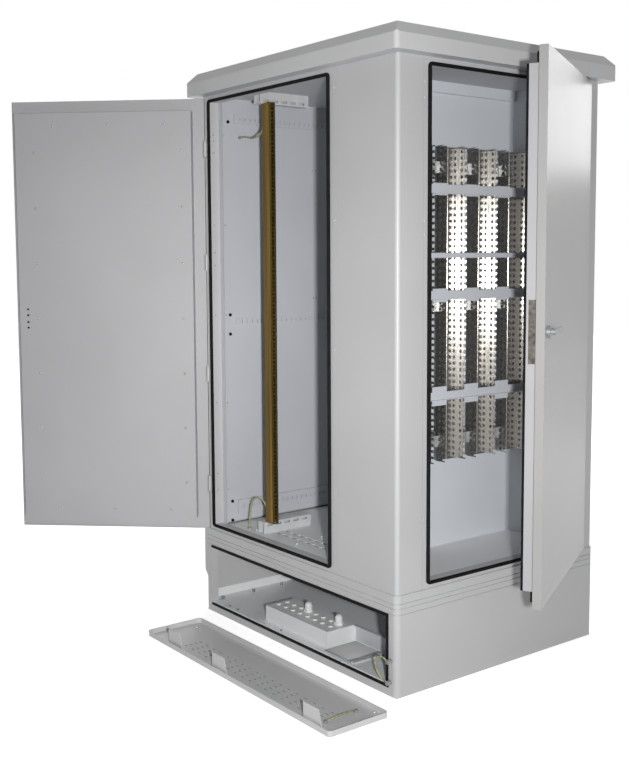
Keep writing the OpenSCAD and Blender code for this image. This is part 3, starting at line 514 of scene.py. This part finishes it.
# %% Places on the doors
FRONT_OPEN, SIDE_OPEN = np.radians((132.5, 29.0))
FRONT_U = np.array([math.cos(FRONT_OPEN), -math.sin(FRONT_OPEN), 0])
FRONT_V = np.array([math.sin(FRONT_OPEN), math.cos(FRONT_OPEN), 0])
SIDE_U = np.array([math.sin(SIDE_OPEN), -math.cos(SIDE_OPEN), 0])
SIDE_V = np.array([-math.cos(SIDE_OPEN), -math.sin(SIDE_OPEN), 0])
HINGES = {"front_door": (np.array([-0.541, -0.523, 0]), FRONT_U, FRONT_V),
          "side_door": (np.array([0.613, 0.416, 0]), SIDE_U, SIDE_V)}


def on_door(door, uvz):
    """Hinge line + u U + v V + z up, for an array of (u, v, z)."""
    hinge, along, inward = HINGES[door]
    u, v, z = np.asarray(uvz, float).T
    return hinge + u[:, None] * along + v[:, None] * inward + z[:, None] * UP


print("doors stand open by", np.degrees((FRONT_OPEN, SIDE_OPEN)).round(1), "degrees")

# %% [markdown]
# ## Door rivets
# The inner tray of each door is riveted to its skin along both long sides and both ends.
# The rows were measured on the open front door. Four dark screws by its free edge hold
# the latch.

# %% Door rivets
TRAY_V = 0.049
RIVET_R, RIVET_RISE = 0.0052, 0.0026
LONG_SIDES_U = (0.690, 0.087)
LONG_SIDES_Z = 0.560 + 0.2235 * np.arange(7)
ENDS_U = (0.612, 0.386, 0.155)
ENDS_Z = (0.448, 2.006)
u, z = np.concatenate([np.stack(np.meshgrid(*pair), axis=-1).reshape(-1, 2)
                       for pair in ((LONG_SIDES_U, LONG_SIDES_Z), (ENDS_U, ENDS_Z))]).T
for door, (_, _, inward) in HINGES.items():
    add_piece(door + "_rivets", *heads(on_door(door, rows(u, TRAY_V, z)), inward, dome(RIVET_R, RIVET_RISE)),
              "handle", door, "zinc_steel")

# %% Latch screws
LATCH_U = 0.733
LATCH_Z = (1.269, 1.245, 1.217, 1.194)
latch_places = on_door("front_door", rows(LATCH_U, TRAY_V, LATCH_Z))
add_piece("latch_screws", *heads(latch_places, FRONT_V, socket(0.0042, 0.002), SMALL_SEGMENTS),
          "rubber", "front_door", "seal_black")

# %% [markdown]
# ## Screws of the corner panel
# The corner panel can be unscrewed. Its screws sit in pairs beside the side seam, and
# singly beside the front seam. Small painted domes are all that shows. The frames on
# either side of the panel give the seams, and the panel gives both faces of the body.

# %% Screws of the corner panel
SIDE_SCREW_IN, FRONT_SCREW_IN = 0.006, 0.012
SIDE_SCREW_Z = (2.040, 1.990, 1.590, 1.545, 1.100, 0.590, 0.545)
FRONT_SCREW_Z = (2.050, 1.600, 1.150, 0.620)
panel_low, panel_high = box_of("corner_panel")
side_screw_y = box_of("side_frame")[0][1] + SIDE_SCREW_IN
front_screw_x = box_of("front_frame")[1][0] - FRONT_SCREW_IN
screw = dome(0.005, 0.0025)
add_piece("side_seam_screws", *heads(rows(panel_high[0], side_screw_y, SIDE_SCREW_Z), RIGHT, screw),
          "outer", "cabinet", "outer_grey")
add_piece("front_seam_screws", *heads(rows(front_screw_x, panel_low[1], FRONT_SCREW_Z), FORWARD, screw),
          "outer", "cabinet", "outer_grey")

# %% [markdown]
# ## Bolts and screws of the left wall
# Black socket bolts hold the left inner wall, with small screws beside them along the
# door jamb and the wall's edge, and a few further back.

# %% Bolts of the left wall
WALL_BOLT_Y = -0.440
WALL_BOLT_Z = (2.019, 1.242, 1.163, 0.467, 0.387)
wall_x = box_of("inner_left_wall")[1][0]
add_piece("wall_bolts", *heads(rows(wall_x, WALL_BOLT_Y, WALL_BOLT_Z), RIGHT, socket(0.0065, 0.005)),
          "rubber", "cabinet", "seal_black")

# %% Screws of the jamb and the left wall
JAMB_X, JAMB_Y = -0.530, -0.490
JAMB_Z = (1.966, 1.943, 1.895, 1.606, 1.495, 1.443, 1.242, 0.881, 0.584, 0.517)
EDGE_Y = -0.459
EDGE_Z = (1.965, 1.605, 1.242, 0.881, 0.520)
rear_y, rear_z = (axis.ravel() for axis in np.meshgrid((-0.012, 0.004), (1.845, 1.300)))
small = np.concatenate([rows(JAMB_X, JAMB_Y, JAMB_Z), rows(wall_x, EDGE_Y, EDGE_Z),
                        rows(wall_x, rear_y, rear_z)])
add_piece("jamb_screws", *heads(small, RIGHT, dome(0.0032, 0.0015), SMALL_SEGMENTS),
          "handle", "cabinet", "zinc_steel")

# %% [markdown]
# ## Bolts and screws of the plinth
# Zinc bolts stand on the plinth's tray along both of its sides, and three dark screws
# lie behind the sill. The gland box stands on the same tray, so the foot of its box is
# the height of all of them.

# %% Bolts and screws of the plinth
TRAY_BOLT_X = 0.557
TRAY_BOLT_Y = (-0.455, -0.300, -0.152, 0.000, 0.150)
SILL_SCREWS = np.array([(-0.452, -0.488), (-0.396, -0.486), (-0.088, -0.490)])
tray_z = box_of("gland_box")[0][2]
for sign, name in ((-1, "plinth_bolts_left"), (1, "plinth_bolts_right")):
    add_piece(name, *heads(rows(sign * TRAY_BOLT_X, TRAY_BOLT_Y, tray_z), UP, socket(0.007, 0.009)),
              "handle", "cabinet", "zinc_steel")
add_piece("sill_screws", *heads(rows(*SILL_SCREWS.T, tray_z), UP, dome(0.005, 0.002)),
          "rubber", "cabinet", "seal_black")

# %% [markdown]
# ## Bolts on the floor and the cover
# Three bolts stand on the floor of the equipment bay, and two on the inner face of the
# cover that lies on the ground. The box of the cover also holds its upright tabs, so the
# thickness of its sheet gives the height instead.

# %% Bolts on the floor and the cover
DECK_BOLTS = np.array([(-0.328, -0.436), (-0.055, -0.436), (-0.077, -0.298)])
COVER_SCREWS = np.array([(-0.410, -0.674), (0.640, -0.640)])
COVER_SHEET = 0.0015
deck_z = box_of("equipment_floor")[1][2]
add_piece("deck_bolts", *heads(rows(*DECK_BOLTS.T, deck_z), UP, socket(0.006, 0.008)),
          "zinc", "cabinet", "zinc_steel")
add_piece("cover_screws", *heads(rows(*COVER_SCREWS.T, COVER_SHEET), UP, socket(0.007, 0.006)),
          "zinc", "cabinet", "zinc_steel")

# %% [markdown]
# ## World
# The world fills the shadows with a weak, even light. To the camera and to reflections
# it is plain white instead, so the backdrop is bright and adds no light to the cabinet.
# The Light Path node tells the two kinds of ray apart.

# %% World
FILL = 0.12


def seen(tree):
    """Factor: 1 for camera, glossy or transmission rays, else 0."""
    path = node(tree, "ShaderNodeLightPath")
    total = path.outputs["Is Camera Ray"]
    for kind in ("Is Glossy Ray", "Is Transmission Ray"):
        join = node(tree, "ShaderNodeMath", operation="MAXIMUM")
        tree.links.new(total, join.inputs[0])
        tree.links.new(path.outputs[kind], join.inputs[1])
        total = join.outputs["Value"]
    return total


world = bpy.data.worlds.new("studio")
bpy.context.scene.world = world
world.use_nodes = True
sky = world.node_tree
sky.nodes.clear()
fill = node(sky, "ShaderNodeBackground", Strength=FILL)
fill.inputs["Color"].default_value = (0.94, 0.97, 1.0, 1)
white = node(sky, "ShaderNodeBackground", Strength=1.0)
white.inputs["Color"].default_value = (1, 1, 1, 1)
choose = node(sky, "ShaderNodeMixShader")
sky.links.new(seen(sky), choose.inputs["Fac"])
sky.links.new(fill.outputs["Background"], choose.inputs[1])
sky.links.new(white.outputs["Background"], choose.inputs[2])
sky.links.new(choose.outputs["Shader"], node(sky, "ShaderNodeOutputWorld").inputs["Surface"])
print("world fill", FILL)

# %% [markdown]
# ## Lamps
# The photograph was lit from beside the lens, which gives the dark bands at the right
# of both bays. A small key lamp there throws the same crisp shadows. Two large lamps
# behind the cabinet are soft, and keep its rear and its roof from going black in the
# other views.

# %% Lamps
def lamp(name, place, target, size, power, spread):
    """A square lamp that faces a point.

    A larger size gives softer shadows, and a smaller spread in degrees a narrower beam.
    """
    data = bpy.data.lights.new(name, "AREA")
    data.size = size
    data.energy = power
    data.spread = math.radians(spread)
    light = bpy.data.objects.new(name, data)
    light.location = place
    light.rotation_euler = (Vector(target) - Vector(place)).to_track_quat("-Z", "Y").to_euler()
    bpy.context.scene.collection.objects.link(light)
    print("lamp", name, power, "W")


lamp("key", (3.31, -2.66, 1.38), (-0.25, -0.45, 1.12), size=0.10, power=34, spread=90)
lamp("rear", (-4.0, 3.4, 2.8), (-0.2, 0.2, 1.1), size=2.0, power=110, spread=170)
lamp("back", (-1.2, 4.6, 3.3), (0.6, 0.1, 1.8), size=2.4, power=34, spread=160)

# %% [markdown]
# ## Glow of the floor
# The floor is pale and plain. To the camera and to reflections it also glows, more with
# the distance from the cabinet, until it is as white as the backdrop. The weaker glow near
# the cabinet is painted shade round it. The lamps' shadows stay on it.

# %% Glow of the floor
# Painted shade: the glow is weaker near the cabinet, so the floor round it is dimmer.
GLOW = {"From Min": 1.4, "From Max": 4.5, "To Min": 0.66, "To Max": 1.0}
pale = finish("pale_floor", (0.88, 0.88, 0.88), 0.8, vary=0.01)
ground = pale.node_tree
spot = node(ground, "ShaderNodeTexCoord").outputs["Object"]
far = node(ground, "ShaderNodeVectorMath", operation="LENGTH")
ground.links.new(spot, far.inputs["Vector"])
rise = node(ground, "ShaderNodeMapRange", **GLOW)
ground.links.new(far.outputs["Value"], rise.inputs["Value"])
lit = node(ground, "ShaderNodeEmission")
ground.links.new(rise.outputs["Result"], lit.inputs["Strength"])
both = node(ground, "ShaderNodeAddShader")
visible = node(ground, "ShaderNodeMixShader")
plain = next(n for n in ground.nodes if n.type == "BSDF_PRINCIPLED").outputs["BSDF"]
ground.links.new(plain, both.inputs[0])
ground.links.new(lit.outputs["Emission"], both.inputs[1])
ground.links.new(seen(ground), visible.inputs["Fac"])
ground.links.new(plain, visible.inputs[1])
ground.links.new(both.outputs["Shader"], visible.inputs[2])
print("floor glows from", GLOW["To Min"], "to", GLOW["To Max"])

# %% [markdown]
# ## Bare ground and painted shade
# Under the cabinet the floor is bare ground without a glow. Under the cover it is near
# black, which is painted shade for the cover's slots, so that no light comes up through
# them. A mask for each is the product of two tests, one on X and one on Y, against the box
# of the solid that stands there.

# %% Bare ground and painted shade
# The cover's patch, near black, is painted shade; the plinth's patch is bare ground.
BARE_AND_SHADED_GROUND = (("plinth_frame", 0.002, 0.85), ("plinth_cover", 0.003, 0.05))
where = node(ground, "ShaderNodeSeparateXYZ")
ground.links.new(spot, where.inputs["Vector"])


def under(solid, margin):
    """Factor: 1 where X and Y both lie within half the solid's box, less the margin, of its middle."""
    low, high = box_of(solid)
    product = node(ground, "ShaderNodeMath", operation="MULTIPLY")
    for i, axis in enumerate("XY"):
        test = node(ground, "ShaderNodeMath", operation="COMPARE")
        test.inputs[1].default_value = (low[i] + high[i]) / 2
        test.inputs[2].default_value = (high[i] - low[i]) / 2 - margin
        ground.links.new(where.outputs[axis], test.inputs[0])
        ground.links.new(test.outputs["Value"], product.inputs[i])
    return product.outputs["Value"]


surface = visible.outputs["Shader"]
for solid, margin, grey in BARE_AND_SHADED_GROUND:
    bare = node(ground, "ShaderNodeBsdfDiffuse", Color=(grey, grey, grey, 1))
    covered = node(ground, "ShaderNodeMixShader")
    ground.links.new(under(solid, margin), covered.inputs["Fac"])
    ground.links.new(surface, covered.inputs[1])
    ground.links.new(bare.outputs["BSDF"], covered.inputs[2])
    surface = covered.outputs["Shader"]
end = next(n for n in ground.nodes if n.type == "OUTPUT_MATERIAL")
ground.links.new(surface, end.inputs["Surface"])
print("bare ground under", [solid for solid, _, _ in BARE_AND_SHADED_GROUND])

# %% [markdown]
# ## Floor
# The floor itself is one large square. It lies half a millimetre below the ground face
# of the plinth, because two faces at one height would flicker.

# %% Floor
FLOOR, FLOOR_Z = 14.0, -0.0005
floor_mesh = bpy.data.meshes.new("floor")
floor_mesh.from_pydata([(-FLOOR, -FLOOR, FLOOR_Z), (FLOOR, -FLOOR, FLOOR_Z), (FLOOR, FLOOR, FLOOR_Z),
                        (-FLOOR, FLOOR, FLOOR_Z)], [], [(0, 1, 2, 3)])
floor_mesh.materials.append(pale)
floor = bpy.data.objects.new("floor", floor_mesh)
bpy.context.scene.collection.objects.link(floor)
print("floor", 2 * FLOOR, "m across")

# %% [markdown]
# ## Finish
# The Standard view shows a colour about as it is written.

# %% Finish
bpy.context.scene.view_settings.view_transform = "Standard"
print("pieces", len(made), "faces", sum(made.values()))
